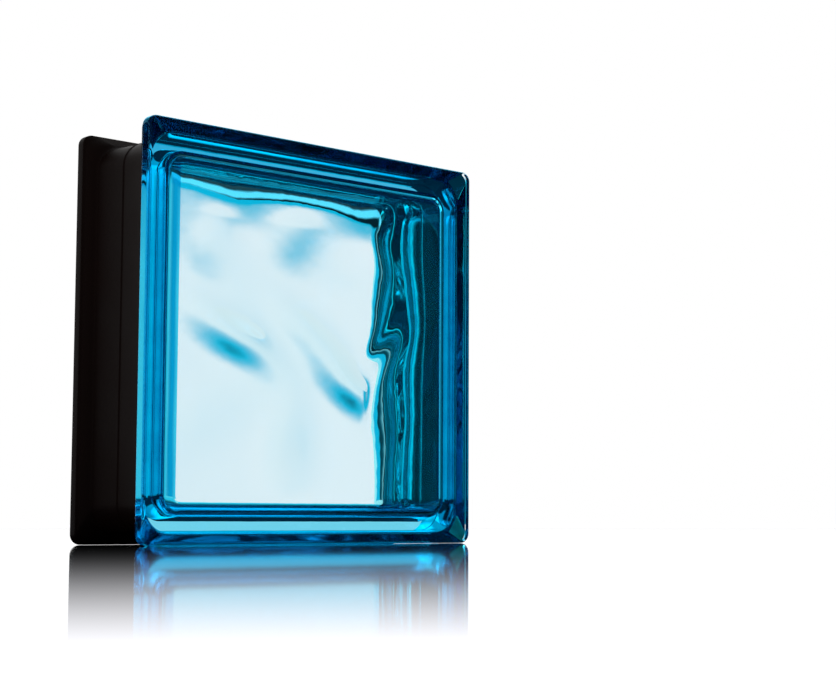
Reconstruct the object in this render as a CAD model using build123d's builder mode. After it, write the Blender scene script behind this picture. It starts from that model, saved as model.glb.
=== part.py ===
"""Glass block, 240 x 240 x 80 mm: two pressed glass halves fused rim to rim, with a wavy inner face
in each, a mortar channel round the edge, and a dark mirror coat in that channel.

X runs along the faces, Y from the front face to the back face, Z up. The origin is on the floor,
under the middle of the block, which stands on the lower edges of its two faces.
"""

from build123d import *
from math import atan, cos, degrees, exp, radians, sin
import os

# Outline of the block
SIDE = 240.0
DEPTH = 80.0
OUTLINE_RADIUS = 6.0
FACE_ROUND = 2.2

# Mortar channel: a flat land beside each face, a sloped flank, and a floor that tapers to the seam
LAND = 7.5
FLANK = 5.0
CHANNEL = 7.0
BARREL_RADIUS = 15.0
BARREL_DRAFT = 2.4
BEAD_HEIGHT = 0.6
BEAD_WIDTH = 1.6

# Hollow: drafted walls round it, and a face plate with a cove all round its inner side
WALL = 6.5
HOLLOW_RADIUS = 12.0
HOLLOW_DRAFT = 5.0
PLATE = 8.5
COVE_RADIUS = 8.0

# Wave field: it stands a hair proud of the plate, just inside the coves, and the waves in it fade out
# towards them
FIELD_MARGIN = 1.0
FIELD_RADIUS = 2.0
FIELD_STEP = 0.15
FIELD_REACH = 8.0
FADE = 14.0
SURFACE_STEPS = 30
SURFACE_BORDER = 2.0
SURFACE_TOLERANCE = 0.02

# Waves: each is a long soft swelling of the plate, or a hollow where its height is negative,
# (x, z, direction in degrees, length, width, height)
FRONT_WAVES = (
    (50.0, 119.0, 40.0, 22.0, 9.0, 1.3),
    (64.0, 140.0, 85.0, 26.0, 18.0, 1.6),
    (-62.0, 186.0, 0.0, 26.0, 14.0, -1.4),
    (34.0, 186.0, -8.0, 22.0, 13.0, -1.4),
    (54.0, 74.0, 60.0, 24.0, 16.0, 0.8),
    (-30.0, 95.0, 25.0, 50.0, 20.0, 1.4),
    (-60.0, 148.0, -50.0, 40.0, 18.0, 1.2),
    (-12.0, 50.0, 80.0, 30.0, 16.0, 1.4),
)
BACK_WAVES = (
    (-15.0, 128.0, -28.0, 36.0, 14.0, 5.6),
    (74.0, 100.0, -31.0, 28.0, 13.0, 5.6),
    (38.0, 132.0, -34.0, 36.0, 14.0, 4.0),
    (-30.0, 196.0, 70.0, 26.0, 15.0, 1.8),
    (30.0, 200.0, 60.0, 24.0, 15.0, 1.8),
    (22.0, 66.0, 82.0, 30.0, 14.0, 2.6),
    (-50.0, 70.0, 30.0, 40.0, 18.0, 1.8),
)

# Dark mirror coat in the channel
COAT = 0.4
COAT_SETBACK = 0.3

HALF_DEPTH = DEPTH / 2
BARREL = SIDE - 2 * CHANNEL
HOLLOW = BARREL - 2 * WALL
HOLLOW_END = HOLLOW - HOLLOW_DRAFT
PLATE_INSIDE = HALF_DEPTH - PLATE
FIELD = HOLLOW_END - 2 * COVE_RADIUS - 2 * FIELD_MARGIN


def across(distance, side):
    """Plane of the outline at a distance from the seam, in the front half (side -1) or the back (1)."""
    return Plane(origin=(0, side * distance, SIDE / 2), x_dir=(1, 0, 0), z_dir=(0, side, 0))


def swelling(x, z, waves):
    """Height of the waves at a point: long bell curves, each along its own direction, that fade out
    towards the coves."""
    total = 0.0
    for centre_x, centre_z, direction, length, width, height in waves:
        turn = radians(direction)
        along = (x - centre_x) * cos(turn) + (z - centre_z) * sin(turn)
        beside = (z - centre_z) * cos(turn) - (x - centre_x) * sin(turn)
        total += height * exp(-((along / length) ** 2) - (beside / width) ** 2)
    to_cove = HOLLOW_END / 2 - COVE_RADIUS - max(abs(x), abs(z - SIDE / 2))
    fade = min(max(to_cove / FADE, 0.0), 1.0)
    return total * fade * fade * (3.0 - 2.0 * fade)


def wavy_face(side, waves):
    """Wavy surface over a square a little larger than the wave field."""
    span = FIELD + 2 * SURFACE_BORDER
    step = span / SURFACE_STEPS
    rows = []
    for i in range(SURFACE_STEPS + 1):
        x = i * step - span / 2
        row = []
        for j in range(SURFACE_STEPS + 1):
            z = j * step - span / 2 + SIDE / 2
            height = FIELD_STEP + swelling(x, z, waves)
            row.append(Vector(x, side * (PLATE_INSIDE - height), z))
        rows.append(row)
    return Face.make_surface_from_array_of_points(rows, tol=SURFACE_TOLERANCE)


def outer_form(side, grow=0.0, setback=0.0):
    """Solid outside of one half, or of its coat where it grows by the coat's thickness."""
    rim = SIDE - 2 * setback
    rim_radius = OUTLINE_RADIUS - setback
    barrel = BARREL + 2 * grow
    barrel_radius = BARREL_RADIUS + grow
    land_end = HALF_DEPTH - LAND - grow
    flank_end = land_end - FLANK
    with BuildPart() as form:
        with BuildSketch(across(land_end, side)):
            RectangleRounded(rim, rim, rim_radius)
        extrude(amount=LAND + grow)
        with BuildSketch(across(land_end, side)):
            RectangleRounded(rim, rim, rim_radius)
        with BuildSketch(across(flank_end, side)):
            RectangleRounded(barrel, barrel, barrel_radius)
        loft()
        with BuildSketch(across(flank_end, side)):
            RectangleRounded(barrel, barrel, barrel_radius)
        with BuildSketch(across(0, side)):
            RectangleRounded(barrel - BARREL_DRAFT, barrel - BARREL_DRAFT, barrel_radius)
        loft()
        bead = barrel - BARREL_DRAFT + 2 * BEAD_HEIGHT
        with BuildSketch(across(0, side)):
            RectangleRounded(bead, bead, barrel_radius + BEAD_HEIGHT)
        extrude(amount=BEAD_WIDTH / 2 + grow)
    return form.part


def wave_space(side, waves):
    """Space over the wave field, from inside the hollow down to the wavy surface."""
    with BuildPart() as space:
        with BuildSketch(across(PLATE_INSIDE - FIELD_REACH, side)):
            RectangleRounded(FIELD, FIELD, FIELD_RADIUS)
        extrude(amount=2 * FIELD_REACH)
        split(bisect_by=wavy_face(side, waves), keep=Keep.BOTTOM if side < 0 else Keep.TOP)
    return space.part


def hollow(side, waves):
    """Space inside one half, from the seam to the plate, with a cove round the plate and the waves on it."""
    over_field = wave_space(side, waves)
    with BuildPart() as space:
        with BuildSketch(across(0, side)):
            RectangleRounded(HOLLOW, HOLLOW, HOLLOW_RADIUS)
        extrude(amount=PLATE_INSIDE)
        walls = space.faces().filter_by(Axis.Y, reverse=True)
        draft(walls, across(0, side), degrees(atan(HOLLOW_DRAFT / 2 / PLATE_INSIDE)))
        plate_face = space.faces().sort_by(Axis.Y)[0 if side < 0 else -1]
        fillet(plate_face.edges(), radius=COVE_RADIUS)
        with BuildSketch(across(PLATE_INSIDE - FIELD_REACH, side)):
            RectangleRounded(FIELD, FIELD, FIELD_RADIUS)
        extrude(amount=2 * FIELD_REACH, mode=Mode.SUBTRACT)
        add(over_field)
    return space.part


front_form = outer_form(-1)
back_form = outer_form(1)
front_hollow = hollow(-1, FRONT_WAVES)
back_hollow = hollow(1, BACK_WAVES)

# Front half: pressed in one piece, plate, rim and walls
with BuildPart() as front_half:
    add(front_form)
    fillet(front_half.faces().sort_by(Axis.Y)[0].edges(), radius=FACE_ROUND)
    add(front_hollow, mode=Mode.SUBTRACT)

# Back half: the same pressing with waves of its own, fused to the front half at the seam
with BuildPart() as back_half:
    add(back_form)
    fillet(back_half.faces().sort_by(Axis.Y)[-1].edges(), radius=FACE_ROUND)
    add(back_hollow, mode=Mode.SUBTRACT)

# Coat: one band round the channel, over both flanks, both floors and the seam
with BuildPart() as edge_coat:
    add(outer_form(-1, COAT, COAT_SETBACK))
    add(outer_form(1, COAT, COAT_SETBACK))
    add(front_form, mode=Mode.SUBTRACT)
    add(back_form, mode=Mode.SUBTRACT)

os.makedirs("parts", exist_ok=True)
front_half.part.label = "front_half"
export_step(front_half.part, "parts/front_half.step")
back_half.part.label = "back_half"
export_step(back_half.part, "parts/back_half.step")
edge_coat.part.label = "edge_coat"
export_step(edge_coat.part, "parts/edge_coat.step")
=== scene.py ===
"""The look of a square glass block with a blue mirror coat round its edge, standing on a pale glossy floor.

Lengths are in metres, in the frame's own axes: X along the faces, Y from the front face to the back
face, Z up.
"""

import bmesh
import bpy
import numpy as np
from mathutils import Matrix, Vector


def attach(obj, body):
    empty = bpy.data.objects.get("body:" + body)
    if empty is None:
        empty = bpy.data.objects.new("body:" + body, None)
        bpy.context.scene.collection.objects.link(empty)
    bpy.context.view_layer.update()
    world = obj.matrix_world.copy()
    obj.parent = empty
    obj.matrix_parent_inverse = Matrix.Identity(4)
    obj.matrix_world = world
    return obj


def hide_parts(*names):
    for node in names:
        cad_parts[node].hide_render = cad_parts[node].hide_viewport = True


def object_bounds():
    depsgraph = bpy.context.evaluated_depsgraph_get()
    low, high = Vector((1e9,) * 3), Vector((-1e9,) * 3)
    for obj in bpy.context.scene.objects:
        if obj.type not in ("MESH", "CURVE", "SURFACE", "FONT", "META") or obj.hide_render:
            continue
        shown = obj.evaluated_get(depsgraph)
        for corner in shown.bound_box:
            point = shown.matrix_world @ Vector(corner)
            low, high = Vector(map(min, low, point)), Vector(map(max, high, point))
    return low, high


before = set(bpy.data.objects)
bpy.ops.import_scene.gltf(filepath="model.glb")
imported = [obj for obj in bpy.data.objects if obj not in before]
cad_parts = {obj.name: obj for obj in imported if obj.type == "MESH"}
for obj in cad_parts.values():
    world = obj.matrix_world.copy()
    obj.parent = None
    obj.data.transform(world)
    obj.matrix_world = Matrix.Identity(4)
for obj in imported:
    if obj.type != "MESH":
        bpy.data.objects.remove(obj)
cad_low, cad_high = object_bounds()
scene = bpy.context.scene


# The camera stands almost on the floor, in front of the block's left edge, and looks up a little.
# Its place and lens come from the block's outline in the picture, which is 836 by 688 pixels.
PICTURE_PX = (836, 688)
FOCAL_PX = 1712.7
AXIS_PX = (518.3, 377.4)
SENSOR_MM = 36.0
CAMERA_PLACE = (-0.6162, -0.8599, 0.012)
CAMERA_TURN = 0.7598
CAMERA_TILT = 0.0854
NEAREST = 0.01
FARTHEST = 100.0

lens = bpy.data.cameras.new("camera")
lens.sensor_width = SENSOR_MM
lens.lens = FOCAL_PX / PICTURE_PX[0] * SENSOR_MM
lens.shift_x = (PICTURE_PX[0] / 2 - AXIS_PX[0]) / PICTURE_PX[0]
lens.shift_y = (AXIS_PX[1] - PICTURE_PX[1] / 2) / PICTURE_PX[0]
lens.clip_start = NEAREST
lens.clip_end = FARTHEST
camera = bpy.data.objects.new("camera", lens)
camera.location = CAMERA_PLACE
camera.rotation_euler = (np.pi / 2 + CAMERA_TILT, 0.0, -CAMERA_TURN)
scene.collection.objects.link(camera)
scene.camera = camera


# The light is one sky: a white panel in a blue halo behind the block, between dark boards, and a faint
# room behind the camera. Rays that the glass has mirrored see more blue and a strip of light at the
# left. The camera itself, and the floor's mirroring, see plain white.
class Value:
    """A shader socket that takes part in sums, differences, products and powers as a number would."""

    def __init__(self, maker, socket):
        self.maker, self.socket = maker, socket

    def combine(self, operation, *others):
        """Math node with this value first and the others after it."""
        return self.maker.node("ShaderNodeMath", {"operation": operation}, self, *others).value()

    def __add__(self, other):
        return self.combine("ADD", other)

    def __mul__(self, other):
        return self.combine("MULTIPLY", other)

    def __sub__(self, other):
        return self.combine("SUBTRACT", other)

    def __rsub__(self, other):
        return (self * -1.0) + other

    def __pow__(self, other):
        return self.combine("POWER", other)

    __radd__ = __add__
    __rmul__ = __mul__

    def ramp(self, start, end):
        """t * t * (3 - 2 * t), where t goes from 0 at start to 1 at end and is held beyond them."""
        settings = {"interpolation_type": "SMOOTHSTEP"}
        return self.maker.node("ShaderNodeMapRange", settings, self, start, end).value()


class Finish:
    """One material or sky and the nodes in it."""

    def __init__(self, name, owner=None):
        self.owner = owner or bpy.data.materials.new(name)
        self.owner.use_nodes = True
        self.tree = self.owner.node_tree
        self.tree.nodes.clear()

    def node(self, kind, settings=None, *inputs, **named):
        """Adds a node, sets it up, and fills its sockets in order, then by name."""
        made = self.tree.nodes.new(kind)
        for key, setting in (settings or {}).items():
            setattr(made, key, setting)
        for key, given in [*enumerate(inputs), *((k.replace("_", " "), v) for k, v in named.items())]:
            if isinstance(given, Value):
                self.tree.links.new(given.socket, made.inputs[key])
            elif isinstance(given, bpy.types.NodeSocket):
                self.tree.links.new(given, made.inputs[key])
            elif given is not None:
                made.inputs[key].default_value = given
        return Made(self, made)

    def mix(self, share, first, second):
        """First colour * (1 - share) + second colour * share, through the node's colour sockets."""
        made = self.node("ShaderNodeMix", {"data_type": "RGBA"}, share)
        made.node.inputs[6].default_value = first
        made.node.inputs[7].default_value = second
        return made.socket(2)

    def noise(self, scale, detail=2.0, stretch=(1.0, 1.0, 1.0)):
        """Soft noise about 0.5 in the object's own metres, with scale features to the metre."""
        place = self.node("ShaderNodeTexCoord").socket("Object")
        scaled = self.node("ShaderNodeVectorMath", {"operation": "MULTIPLY"}, place, stretch).socket()
        return self.node("ShaderNodeTexNoise", None, scaled, Scale=scale, Detail=detail).value()

    def bump(self, height, distance):
        """Normal of a surface raised by a height from 0 to 1 times a distance."""
        return self.node("ShaderNodeBump", None, Strength=1.0, Distance=distance, Height=height).socket()


class Made:
    """A finished node, whose outputs are read by name or by number."""

    def __init__(self, maker, node):
        self.maker, self.node = maker, node

    def value(self, key=0):
        return Value(self.maker, self.node.outputs[key])

    def socket(self, key=0):
        return self.node.outputs[key]


scene.world = bpy.data.worlds.new("studio")
sky = Finish("studio", scene.world)
direction = sky.node("ShaderNodeTexCoord").socket("Generated")
path = sky.node("ShaderNodeLightPath")


def towards(*axis):
    """How far the sky's direction points along an axis: the product of the two unit vectors."""
    return sky.node("ShaderNodeVectorMath", {"operation": "DOT_PRODUCT"}, direction, axis).value("Value")


def band(value, middle, half):
    """1 near the middle, falling smoothly to 0 where the value is half away from it."""
    return (value - middle).combine("ABSOLUTE").ramp(half, half * 0.4)


# Directions: ahead to the backdrop, across it to the right, and up. A ray's mirrorings are counted in
# whole numbers, so a ramp between two of them is a step.
BACKDROP_TURN = np.radians(37.0)
ahead = towards(np.sin(BACKDROP_TURN), np.cos(BACKDROP_TURN), 0.0)
across = towards(np.cos(BACKDROP_TURN), -np.sin(BACKDROP_TURN), 0.0)
above = towards(0.0, 0.0, 1.0)
forward = ahead.ramp(0.0, 0.2)
mirrorings = path.value("Glossy Depth")
bounced = mirrorings.ramp(0.4, 0.6)

# White panel behind the block. Part of its light is blue at its left and its top, and most of it is
# blue in mirrored rays.
PANEL_LEFT = (-0.27, -0.11)
PANEL_RIGHT = (0.23, 0.16)
PANEL_TOP = (0.25, 0.14)
BLUE_LEFT = 0.12
BLUE_TOP = 0.35
BLUE_MIRRORED = 0.8
panel = across.ramp(*PANEL_RIGHT) * across.ramp(*PANEL_LEFT) * above.ramp(*PANEL_TOP) * forward
blue_part = across.ramp(0.04, -0.16) * BLUE_LEFT + above.ramp(0.12, 0.22) * BLUE_TOP
shade = blue_part.combine("MAXIMUM", bounced * BLUE_MIRRORED)

# Blue halo round the panel, which reaches higher at the left
HALO_LEFT = (-0.60, -0.30)
HALO_RIGHT = (0.46, 0.38)
HALO_TOP = (0.285, 0.235)
HALO_RISE = 0.17
edge = above - across.ramp(0.06, -0.04) * HALO_RISE
halo = across.ramp(*HALO_RIGHT) * across.ramp(*HALO_LEFT) * edge.ramp(*HALO_TOP) * forward - panel

# Light high over the halo, which comes lower at the right
HIGH_RIGHT = (0.45, 0.60)
HIGH_BAND = (0.55, 0.17)
HIGH_RIGHT_BAND = (0.42, 0.20)
high_right = across.ramp(*HIGH_RIGHT) * band(above, *HIGH_RIGHT_BAND)
high = (across.ramp(*HALO_LEFT) * band(above, *HIGH_BAND)).combine("MAXIMUM", high_right) * forward

# Lights for mirrored rays only: an upright strip at the left, a patch over the panel, and all that lies
# above the halo. Another strip farther left is for rays that were mirrored three times or more.
STRIP_BAND = (-0.70, 0.20)
STRIP_TOP = (0.6, 0.3)
UPPER_BAND = (0.31, 0.16)
UPPER_LEFT = (-0.40, -0.25)
UPPER_RIGHT = (0.20, 0.10)
OVERHEAD_FOOT = (0.28, 0.45)
INNER_BAND = (-0.93, 0.13)
strips = bounced * band(across, *STRIP_BAND) * above.ramp(*STRIP_TOP)
upper = bounced * band(above, *UPPER_BAND) * across.ramp(*UPPER_RIGHT) * across.ramp(*UPPER_LEFT) * forward
overhead = bounced * above.ramp(*OVERHEAD_FOOT) * forward
inner = mirrorings.ramp(2.4, 2.6) * band(across, *INNER_BAND)

# Pale light at both sides and behind, for rays that went straight through both plates
SIDE_LEFT = (-0.35, -0.55)
SIDE_RIGHT = (0.55, 0.75)
SIDE_TOP = (0.7, 0.3)
through = path.value("Transmission Depth").ramp(3.4, 3.6)
sides = across.ramp(*SIDE_LEFT).combine("MAXIMUM", across.ramp(*SIDE_RIGHT))
sides = sides.combine("MAXIMUM", ahead.ramp(0.2, 0.0))
open_sides = (1.0 - bounced) * through * sides * above.ramp(*SIDE_TOP)

# Faint light from beside the halo, from the room behind the camera, and from its ceiling
ROOM_STRENGTH = 0.10
CEILING_STRENGTH = 0.10
beside = across.ramp(0.4, 0.7) * forward
room = ahead.ramp(-0.5, -0.95) * ROOM_STRENGTH
ceiling = above.ramp(0.55, 0.95) * CEILING_STRENGTH

# White and blue light added up. The boards' strength and the dim strength are everywhere.
WHITE_LIGHT = (1.0, 0.96, 1.0, 1.0)
WHITE_STRENGTH = 1.12
SIDE_STRENGTH = 0.95
STRIP_STRENGTH = 0.7
HIGH_STRENGTH = 0.4
BOARD_STRENGTH = 0.004
BLUE_LIGHT = (0.01, 0.50, 0.74, 1.0)
HALO_STRENGTH = 1.15
UPPER_GAIN = 1.5
OVERHEAD_GAIN = 0.9
STRIP_GAIN = 0.6
INNER_GAIN = 0.9
HIGH_GAIN = 1.1
BESIDE_STRENGTH = 0.35
DIM_STRENGTH = 0.025
white_light = (panel * (1.0 - shade) * WHITE_STRENGTH).combine("MAXIMUM", open_sides * SIDE_STRENGTH)
white_light = white_light + strips * STRIP_STRENGTH + high * HIGH_STRENGTH + room + ceiling + BOARD_STRENGTH
white = sky.node("ShaderNodeBackground", None, WHITE_LIGHT, white_light)
blue_light = halo + upper * UPPER_GAIN + overhead * OVERHEAD_GAIN + (inner + strips * STRIP_GAIN) * INNER_GAIN
blue_light = (blue_light + high * HIGH_GAIN + panel * shade) * HALO_STRENGTH
blue_light = blue_light + beside * BESIDE_STRENGTH + DIM_STRENGTH
blue = sky.node("ShaderNodeBackground", None, BLUE_LIGHT, blue_light)
lit = sky.node("ShaderNodeAddShader", None, white.socket(), blue.socket())

# Plain white for the camera and for the floor's mirroring, which blurs a little and comes early on a
# ray's way
FLOOR_GAIN = 0.08
early = path.value("Ray Depth").ramp(2.6, 2.4)
floor_ray = path.value("Is Glossy Ray") * (1.0 - path.value("Is Singular Ray")) * early
seen = path.value("Is Camera Ray") + floor_ray
plain = sky.node("ShaderNodeBackground", None, (1.0, 1.0, 1.0, 1.0), 1.0 + floor_ray * FLOOR_GAIN)
both = sky.node("ShaderNodeMixShader", None, seen, lit.socket(), plain.socket())
sky.node("ShaderNodeOutputWorld", None, both.socket())

scene.view_settings.view_transform = "Standard"
scene.cycles.max_bounces = 40
scene.cycles.transmission_bounces = 40
scene.cycles.glossy_bounces = 24
scene.cycles.diffuse_bounces = 3
scene.cycles.use_denoising = True
scene.cycles.sample_clamp_indirect = 6.0


# The floor is a large sheet of white acrylic that glows from below, and less under and round the block,
# which is a painted shadow. Looked at directly and at a low angle it mirrors what stands on it, up to the
# edge of its polish. Rays that the glass has mirrored find it dim and blue.
FLOOR_REACH = 30.0
FLOOR_DROP = 0.0001
POLISH_REACH = 2.88
POLISH_MIDDLE = (1.2, 1.6, 0.0)
POLISH_FALL = 22.0
POLISH_ROUGHNESS = 0.04
LOW_ANGLE = (0.55, 0.70)
SHADOW_X = (0.18, 0.11)
SHADOW_Y = (0.10, 0.03)
GLOW_WHITE = (0.96, 0.96, 1.0, 1.0)
GLOW_BLUE = (0.001, 0.03, 0.055, 1.0)
GLOW_STRENGTH = 1.10
SHADOW_STRENGTH = 1.09

floor_mesh = bpy.data.meshes.new("floor")
corners = np.array([(-1, -1), (1, -1), (1, 1), (-1, 1)]) * FLOOR_REACH
floor_mesh.from_pydata([(x, y, -FLOOR_DROP) for x, y in corners], [], [(0, 1, 2, 3)])
floor = bpy.data.objects.new("floor", floor_mesh)
scene.collection.objects.link(floor)
acrylic = Finish("white_acrylic")
place = acrylic.node("ShaderNodeTexCoord").socket("Object")
arrival = acrylic.node("ShaderNodeLightPath")
away = acrylic.node("ShaderNodeVectorMath", {"operation": "DISTANCE"}, place, POLISH_MIDDLE).value("Value")
dull = (away * (1.0 / POLISH_REACH)).combine("MINIMUM", 1.0) ** POLISH_FALL
grazing = acrylic.node("ShaderNodeLayerWeight").value("Facing").ramp(*LOW_ANGLE)
polish = arrival.value("Is Camera Ray") * (1.0 - dull) * grazing
spread = acrylic.node("ShaderNodeSeparateXYZ", None, place)
# Painted shadow: the floor's glow is dimmed under the block and a little way round it
painted_shadow_x = spread.value("X").combine("ABSOLUTE").ramp(*SHADOW_X)
painted_shadow_y = spread.value("Y").combine("ABSOLUTE").ramp(*SHADOW_Y)
glow_colour = acrylic.mix(arrival.value("Glossy Depth").ramp(0.4, 0.6), GLOW_WHITE, GLOW_BLUE)
glow_strength = GLOW_STRENGTH - painted_shadow_x * painted_shadow_y * SHADOW_STRENGTH
glow = acrylic.node("ShaderNodeEmission", None, glow_colour, glow_strength)
mirror = acrylic.node("ShaderNodeBsdfGlossy", None, (1.0, 1.0, 1.0, 1.0), POLISH_ROUGHNESS)
acrylic_shader = acrylic.node("ShaderNodeMixShader", None, polish, glow.socket(), mirror.socket())
acrylic.node("ShaderNodeOutputMaterial", None, acrylic_shader.socket())
floor_mesh.materials.append(acrylic.owner)


# The two glass halves are pressed apart and fused at the seam, so they are one clear body here. The
# outside is a profile carried round the block's outline. The hollow inside has the same kind of profile
# for its walls and coves, and a field of waves on each plate.
HALF_SIDE = (cad_high[0] - cad_low[0]) / 2
HALF_DEPTH = (cad_high[1] - cad_low[1]) / 2
OUTLINE_RADIUS = 0.006
FACE_ROUND = 0.0022
FACE_SUPPORT = 0.0004
LAND = 0.0075
LAND_SUPPORT = 0.002
LAND_EASING = 0.0007
FLANK = 0.005
FLANK_EASING = 0.0018
CHANNEL = 0.007
BARREL_RADIUS = 0.015
BARREL_DRAFT = 0.0012
BEAD_HEIGHT = 0.0006
BEAD_WIDTH = 0.0016
BEAD_EASING = 0.0004
WALL = 0.0065
HOLLOW_RADIUS = 0.012
HOLLOW_DRAFT = 0.0025
PLATE = 0.0085
COVE_RADIUS = 0.008

BARREL_HALF = HALF_SIDE - CHANNEL
SEAM_HALF = BARREL_HALF - BARREL_DRAFT
LAND_END = HALF_DEPTH - LAND
FLANK_END = LAND_END - FLANK
HOLLOW_HALF = BARREL_HALF - WALL
WALL_END_HALF = HOLLOW_HALF - HOLLOW_DRAFT
PLATE_HALF = WALL_END_HALF - COVE_RADIUS
PLATE_RADIUS = HOLLOW_RADIUS - COVE_RADIUS
PLATE_DEPTH = HALF_DEPTH - PLATE

# Cells along each side of a ring and of a field, the share of them in a corner, and steps round a curve
CELLS = 144
CORNER_SHARE = 0.14
ROUND_STEPS = 7
EASING_STEPS = 5
COVE_STEPS = 12
MERGE_DISTANCE = 1e-6

# Waves: x, z, direction in degrees, length, width and height, which is negative for a hollow
FADE = 0.014
FRONT_WAVES = (
    (0.050, 0.119, 40.0, 0.022, 0.009, 0.0013),
    (0.064, 0.140, 85.0, 0.026, 0.018, 0.0016),
    (-0.062, 0.186, 0.0, 0.026, 0.014, -0.0014),
    (0.034, 0.186, -8.0, 0.022, 0.013, -0.0014),
    (0.054, 0.074, 60.0, 0.024, 0.016, 0.0008),
    (-0.030, 0.095, 25.0, 0.050, 0.020, 0.0014),
    (-0.060, 0.148, -50.0, 0.040, 0.018, 0.0012),
    (-0.012, 0.050, 80.0, 0.030, 0.016, 0.0014),
)
BACK_WAVES = (
    (-0.015, 0.128, -28.0, 0.036, 0.014, 0.0056),
    (0.074, 0.100, -31.0, 0.028, 0.013, 0.0056),
    (0.038, 0.132, -34.0, 0.036, 0.014, 0.0040),
    (-0.030, 0.196, 70.0, 0.026, 0.015, 0.0018),
    (0.030, 0.200, 60.0, 0.024, 0.015, 0.0018),
    (0.022, 0.066, 82.0, 0.030, 0.014, 0.0026),
    (-0.050, 0.070, 30.0, 0.040, 0.018, 0.0018),
)


def outline(half, radius, along, turns):
    """Point of a square with rounded corners. It goes straight up the right side for the middle share of
    along, from -1 to 1, and round half of a corner's arc at each end, then turns by quarter turns."""
    straight = np.clip(along / (1.0 - CORNER_SHARE), -1.0, 1.0) * (half - radius)
    arc = np.clip((np.abs(along) - 1.0 + CORNER_SHARE) / CORNER_SHARE, 0.0, 1.0) * np.pi / 4
    x = half - radius + radius * np.cos(arc)
    z = straight + np.sign(along) * radius * np.sin(arc)
    cosine, sine = np.cos(turns * np.pi / 2), np.sin(turns * np.pi / 2)
    return x * cosine - z * sine, x * sine + z * cosine


def rings(profile):
    """Points in rows, one closed outline for each (half size, y, corner radius) of a profile, around the
    block's middle."""
    half, y, radius = profile.T[:, :, None]
    steps = np.arange(4 * CELLS)
    along, turns = steps % CELLS / CELLS * 2.0 - 1.0, steps // CELLS
    x, z = outline(half, radius, along, turns)
    return np.stack([x, np.broadcast_to(y, x.shape), z + HALF_SIDE], axis=-1)


def field(half, radius):
    """Square grid of points whose rings are rounded squares that shrink to the middle."""
    a, b = np.meshgrid(np.arange(CELLS + 1) - CELLS // 2, np.arange(CELLS + 1) - CELLS // 2, indexing="ij")
    level = np.maximum(np.abs(a), np.abs(b))
    sides_in_turn = [(a == level) & (b < level), b == level, (a == -level) & (b > -level)]
    turns = np.select(sides_in_turn, [0, 1, 2], 3)
    way = np.select([turns == 0, turns == 1, turns == 2], [b, -a, -b], a)
    along = way / np.maximum(level, 1)
    share = level / (CELLS // 2)
    x, z = outline(half * share, radius * share, along, turns)
    return x, z + HALF_SIDE


def swelling(x, z, waves):
    """Height of the waves: the sum of height * exp(-(along / length)^2 - (beside / width)^2), each along
    its own direction, which fades out at the coves."""
    total = np.zeros_like(x)
    for centre_x, centre_z, degrees, length, width, height in waves:
        turn = np.radians(degrees)
        along = (x - centre_x) * np.cos(turn) + (z - centre_z) * np.sin(turn)
        off_line = (z - centre_z) * np.cos(turn) - (x - centre_x) * np.sin(turn)
        total += height * np.exp(-((along / length) ** 2) - (off_line / width) ** 2)
    to_cove = PLATE_HALF - np.maximum(np.abs(x), np.abs(z - HALF_SIDE))
    fade = np.clip(to_cove / FADE, 0.0, 1.0)
    return total * fade * fade * (3.0 - 2.0 * fade)


def eased(profile_corners):
    """Profile through corners, each (half size, y, corner radius, easing). A quadratic curve, (1 - t)^2 *
    start + 2 * t * (1 - t) * corner + t^2 * end, starts and ends the easing's length from the corner."""
    points = np.array([c[:3] for c in profile_corners])
    rows = []
    for index, (*_, easing) in enumerate(profile_corners):
        corner = points[index]
        if easing == 0.0:
            rows.append(corner[None])
            continue
        before, after = points[index - 1] - corner, points[index + 1] - corner
        start = corner + before / np.linalg.norm(before[:2]) * easing
        end = corner + after / np.linalg.norm(after[:2]) * easing
        t = np.linspace(0.0, 1.0, EASING_STEPS)[:, None]
        rows.append((1 - t) ** 2 * start + 2 * t * (1 - t) * corner + t**2 * end)
    return np.concatenate(rows)


def mirrored(profile):
    """The profile from the front face to the seam, and the same again from the seam to the back face."""
    back = profile[::-1] * (1.0, -1.0, 1.0)
    return np.concatenate([profile, back[1:]])


def strip_faces(rows):
    """Quads between neighbouring rings, where the last column joins the first."""
    columns = 4 * CELLS
    row, column = np.meshgrid(np.arange(rows - 1), np.arange(columns), indexing="ij")
    here, further = row * columns, (row + 1) * columns
    after = (column + 1) % columns
    quads = [here + column, here + after, further + after, further + column]
    return np.stack(quads, axis=-1).reshape(-1, 4)


def field_faces():
    """Quads of the square grid."""
    row, column = np.meshgrid(np.arange(CELLS), np.arange(CELLS), indexing="ij")
    here, further = row * (CELLS + 1) + column, (row + 1) * (CELLS + 1) + column
    return np.stack([here, here + 1, further + 1, further], axis=-1).reshape(-1, 4)


def fan(ring, centre_y):
    """Triangles from a ring to the middle of a flat face."""
    columns = ring.shape[0]
    points = np.concatenate([ring, [(0.0, centre_y, HALF_SIDE)]])
    index = np.arange(columns)
    return points, np.stack([index, (index + 1) % columns, np.full(columns, columns)], axis=-1)


def weld(mesh, inward=False):
    """Merges the doubles of one closed shell and turns its faces outwards, or inwards for a hollow."""
    shell = bmesh.new()
    shell.from_mesh(mesh)
    bmesh.ops.remove_doubles(shell, verts=shell.verts, dist=MERGE_DISTANCE)
    bmesh.ops.recalc_face_normals(shell, faces=shell.faces)
    if inward:
        bmesh.ops.reverse_faces(shell, faces=shell.faces)
    shell.to_mesh(mesh)
    shell.free()


def shell_mesh(name, parts, inward=False):
    """One mesh from several (points, faces) pairs that meet along their rims."""
    points = np.concatenate([p.reshape(-1, 3) for p, _ in parts])
    faces, start = [], 0
    for p, f in parts:
        faces += (f + start).tolist()
        start += p.reshape(-1, 3).shape[0]
    mesh = bpy.data.meshes.new(name)
    mesh.from_pydata(points.tolist(), [], faces)
    weld(mesh, inward)
    return mesh


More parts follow.
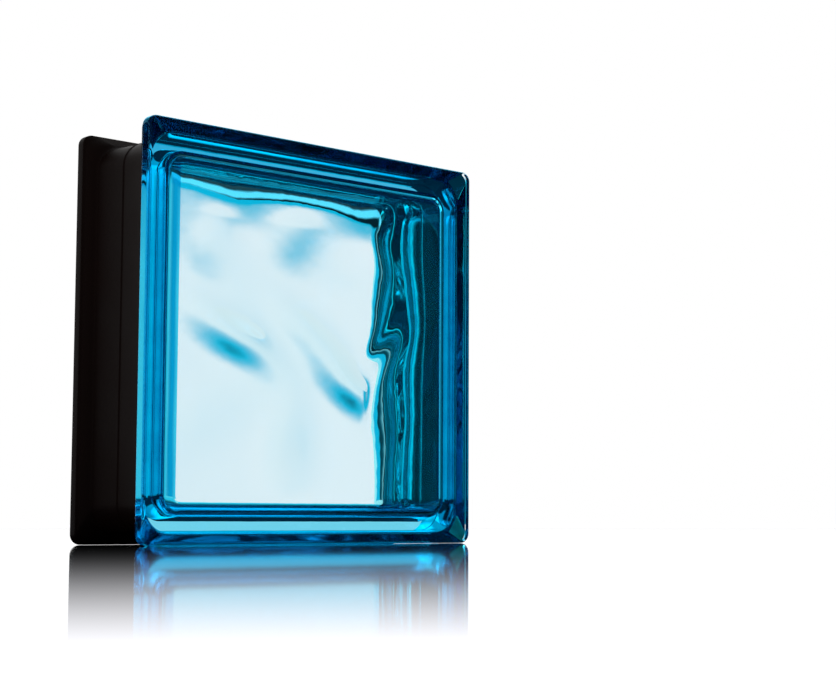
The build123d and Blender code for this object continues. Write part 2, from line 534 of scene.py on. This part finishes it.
def face_middles(mesh):
    """Each face's y, and how far it is from the block's middle along x or z, whichever is more."""
    middles = np.empty(len(mesh.polygons) * 3)
    mesh.polygons.foreach_get("center", middles)
    return middles[1::3], np.maximum(np.abs(middles[0::3]), np.abs(middles[2::3] - HALF_SIDE))


# Outside: flat face, rounded edge, land, flank, channel floor and the bead at the seam
quarter = np.linspace(0.0, np.pi / 2, ROUND_STEPS)
face_round = np.stack([
    HALF_SIDE - FACE_ROUND + FACE_ROUND * np.sin(quarter),
    -HALF_DEPTH + FACE_ROUND - FACE_ROUND * np.cos(quarter),
    OUTLINE_RADIUS - FACE_ROUND + FACE_ROUND * np.sin(quarter),
], axis=-1)
face_edge = face_round[:1] - (FACE_SUPPORT, 0.0, FACE_SUPPORT)
channel_profile = eased([
    (HALF_SIDE, -LAND_END - LAND_SUPPORT, OUTLINE_RADIUS, 0.0),
    (HALF_SIDE, -LAND_END, OUTLINE_RADIUS, LAND_EASING),
    (BARREL_HALF, -FLANK_END, BARREL_RADIUS, FLANK_EASING),
    (SEAM_HALF, -BEAD_WIDTH / 2, BARREL_RADIUS, BEAD_EASING),
    (SEAM_HALF + BEAD_HEIGHT, 0.0, BARREL_RADIUS + BEAD_HEIGHT, 0.0),
])
outside = mirrored(np.concatenate([face_edge, face_round, channel_profile]))
outside_rings = rings(outside)
outer_mesh = shell_mesh("outside", [
    (outside_rings, strip_faces(len(outside))),
    fan(outside_rings[0], -HALF_DEPTH),
    fan(outside_rings[-1], HALF_DEPTH),
])

# Inside: coves and drafted walls, and the wavy plate at each end
cove = np.linspace(0.0, np.pi / 2, COVE_STEPS)
cove_profile = np.stack([
    PLATE_HALF + COVE_RADIUS * np.sin(cove),
    -PLATE_DEPTH + COVE_RADIUS * (1.0 - np.cos(cove)),
    PLATE_RADIUS + COVE_RADIUS * np.sin(cove),
], axis=-1)
seam_row = np.array([(HOLLOW_HALF, 0.0, HOLLOW_RADIUS)])
inside = mirrored(np.concatenate([cove_profile, seam_row]))
inside_parts = [(rings(inside), strip_faces(len(inside)))]
plate_x, plate_z = field(PLATE_HALF, PLATE_RADIUS)
for end, waves in ((-1, FRONT_WAVES), (1, BACK_WAVES)):
    plate_y = end * (PLATE_DEPTH - swelling(plate_x, plate_z, waves))
    inside_parts.append((np.stack([plate_x, plate_y, plate_z], axis=-1), field_faces()))
inner_mesh = shell_mesh("inside", inside_parts, inward=True)

# Finishes by place: the film lies in the channel, the overspray on the back land, and a painted blue
# reflection on the walls
CLEAR, FILM, SPRAY, WALL_PAINTED_REFLECTION = range(4)
FILM_MARGIN = 0.0004
middle_y, reach = face_middles(outer_mesh)
on_film = np.abs(middle_y) < LAND_END - FILM_MARGIN
on_back_land = (middle_y > LAND_END - FILM_MARGIN) & (reach > HALF_SIDE - FACE_ROUND)
outer_finish = np.select([on_film, on_back_land], [FILM, SPRAY], CLEAR)
outer_mesh.polygons.foreach_set("material_index", outer_finish.astype(np.int32))
middle_y, reach = face_middles(inner_mesh)
inner_finish = np.where(reach > PLATE_HALF, WALL_PAINTED_REFLECTION, CLEAR)
inner_mesh.polygons.foreach_set("material_index", inner_finish.astype(np.int32))

glass_mesh = bpy.data.meshes.new("glass_halves")
both_shells = bmesh.new()
both_shells.from_mesh(outer_mesh)
both_shells.from_mesh(inner_mesh)
both_shells.to_mesh(glass_mesh)
both_shells.free()
glass_mesh.shade_smooth()

# Clear glass with a faint ripple and pale blue in the mass. Its reflections are tinted bluish, which is
# painted blue reflection.
GLASS_IOR = 1.52
GLASS_TINT = (0.08, 0.79, 0.90, 1.0)
TINT_DENSITY = 24.0
PAINTED_REFLECTION_TINT = (0.2, 0.75, 0.95, 1.0)
RIPPLE_SCALE = 55.0
RIPPLE_HEIGHT = 0.00010
clear = Finish("clear_glass")
ripple = clear.bump(clear.noise(RIPPLE_SCALE), RIPPLE_HEIGHT)
clear_shader = clear.node("ShaderNodeBsdfPrincipled", Base_Color=(1.0, 1.0, 1.0, 1.0), Roughness=0.0,
                          IOR=GLASS_IOR, Transmission_Weight=1.0, Specular_Tint=PAINTED_REFLECTION_TINT,
                          Normal=ripple)
tint = clear.node("ShaderNodeVolumeAbsorption", None, GLASS_TINT, TINT_DENSITY)
clear.node("ShaderNodeOutputMaterial", None, clear_shader.socket(), tint.socket())

FILM_PALE = (0.03, 0.92, 0.94, 1.0)
FILM_DEEP = (0.008, 0.78, 0.84, 1.0)
FILM_ROUGHNESS = 0.04
STREAK_SCALE = 70.0
STREAK_STRETCH = (1.0, 0.35, 1.0)
LACQUER_DARK = (0.0030, 0.0012, 0.0009, 1.0)
LACQUER_PALE = (0.0060, 0.0024, 0.0018, 1.0)
CLOUD_SCALE = 25.0
PEEL_SCALE = 900.0
PEEL_HEIGHT = 0.00003


def mirror_film(finish):
    """Blue mirror with uneven streaks from front to back, deeper in colour and a little rougher in them."""
    streaks = finish.noise(STREAK_SCALE, 4.0, STREAK_STRETCH).ramp(0.35, 0.70)
    colour = finish.mix(streaks, FILM_PALE, FILM_DEEP)
    return finish.node("ShaderNodeBsdfGlossy", None, colour, FILM_ROUGHNESS + streaks * 0.04)


def black_lacquer(finish):
    """Near-black lacquer with a brown cast, faint clouds and a fine orange peel."""
    clouds = finish.noise(CLOUD_SCALE, 3.0)
    peel = finish.bump(finish.noise(PEEL_SCALE, 1.0), PEEL_HEIGHT)
    colour = finish.mix(clouds, LACQUER_DARK, LACQUER_PALE)
    return finish.node("ShaderNodeBsdfPrincipled", Base_Color=colour, Roughness=0.30 + clouds * 0.25,
                       Specular_IOR_Level=0.02, Normal=peel)


film = Finish("blue_mirror_film")
film.node("ShaderNodeOutputMaterial", None, mirror_film(film).socket())

# Overspray on the back land: lacquer from outside, and the film's blue through the glass
spray = Finish("dark_overspray")
inside_out = spray.node("ShaderNodeNewGeometry").value("Backfacing")
spray_both = spray.node("ShaderNodeMixShader", None, inside_out, black_lacquer(spray).socket(),
                        mirror_film(spray).socket())
spray.node("ShaderNodeOutputMaterial", None, spray_both.socket())

# Uneven blue glass on the hollow's walls and coves, a painted blue reflection: it tints what they mirror
# and let through
WALL_BLUE = (0.26, 0.92, 1.0, 1.0)
WALL_PALE = (0.38, 0.96, 1.0, 1.0)
wall_painted_reflection = Finish("blue_wall_painted_reflection")
wall_colour = wall_painted_reflection.mix(wall_painted_reflection.noise(40.0), WALL_BLUE, WALL_PALE)
wall_shader = wall_painted_reflection.node("ShaderNodeBsdfGlass", None, wall_colour, 0.0, GLASS_IOR)
wall_painted_reflection.node("ShaderNodeOutputMaterial", None, wall_shader.socket())

for finish in (clear, film, spray, wall_painted_reflection):
    glass_mesh.materials.append(finish.owner)
glass = bpy.data.objects.new("glass_halves", glass_mesh)
scene.collection.objects.link(glass)
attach(glass, "root")
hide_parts("front_half", "back_half")


# The coat is sprayed into the channel: a mirror film on the glass, and near-black lacquer over it, which
# this piece is. It is a band round the channel with a skin of its own thickness, and it starts at the
# foot of each land's easing.
COAT = 0.0004
COAT_GAP = 0.00003


def offset(profile, distance):
    """The profile moved sideways by a distance, along the mean normal of its neighbouring stretches."""
    step = np.gradient(profile[:, :2], axis=0)
    step /= np.linalg.norm(step, axis=1)[:, None]
    normal = np.stack([step[:, 1], -step[:, 0]], axis=-1)
    return np.column_stack([profile[:, :2] + normal * distance, profile[:, 2] + normal[:, 0] * distance])


channel = mirrored(channel_profile[EASING_STEPS:])
coat_outer = offset(channel, COAT)
coat_inner = offset(channel, COAT_GAP)[::-1]
coat_loop = np.concatenate([coat_outer, coat_inner, coat_outer[:1]])
coat_mesh = shell_mesh("edge_coat_band", [(rings(coat_loop), strip_faces(len(coat_loop)))])
coat_mesh.shade_smooth()
lacquer = Finish("dark_lacquer")
lacquer.node("ShaderNodeOutputMaterial", None, black_lacquer(lacquer).socket())
coat_mesh.materials.append(lacquer.owner)
coat = bpy.data.objects.new("edge_coat_band", coat_mesh)
scene.collection.objects.link(coat)
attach(coat, "root")
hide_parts("edge_coat")
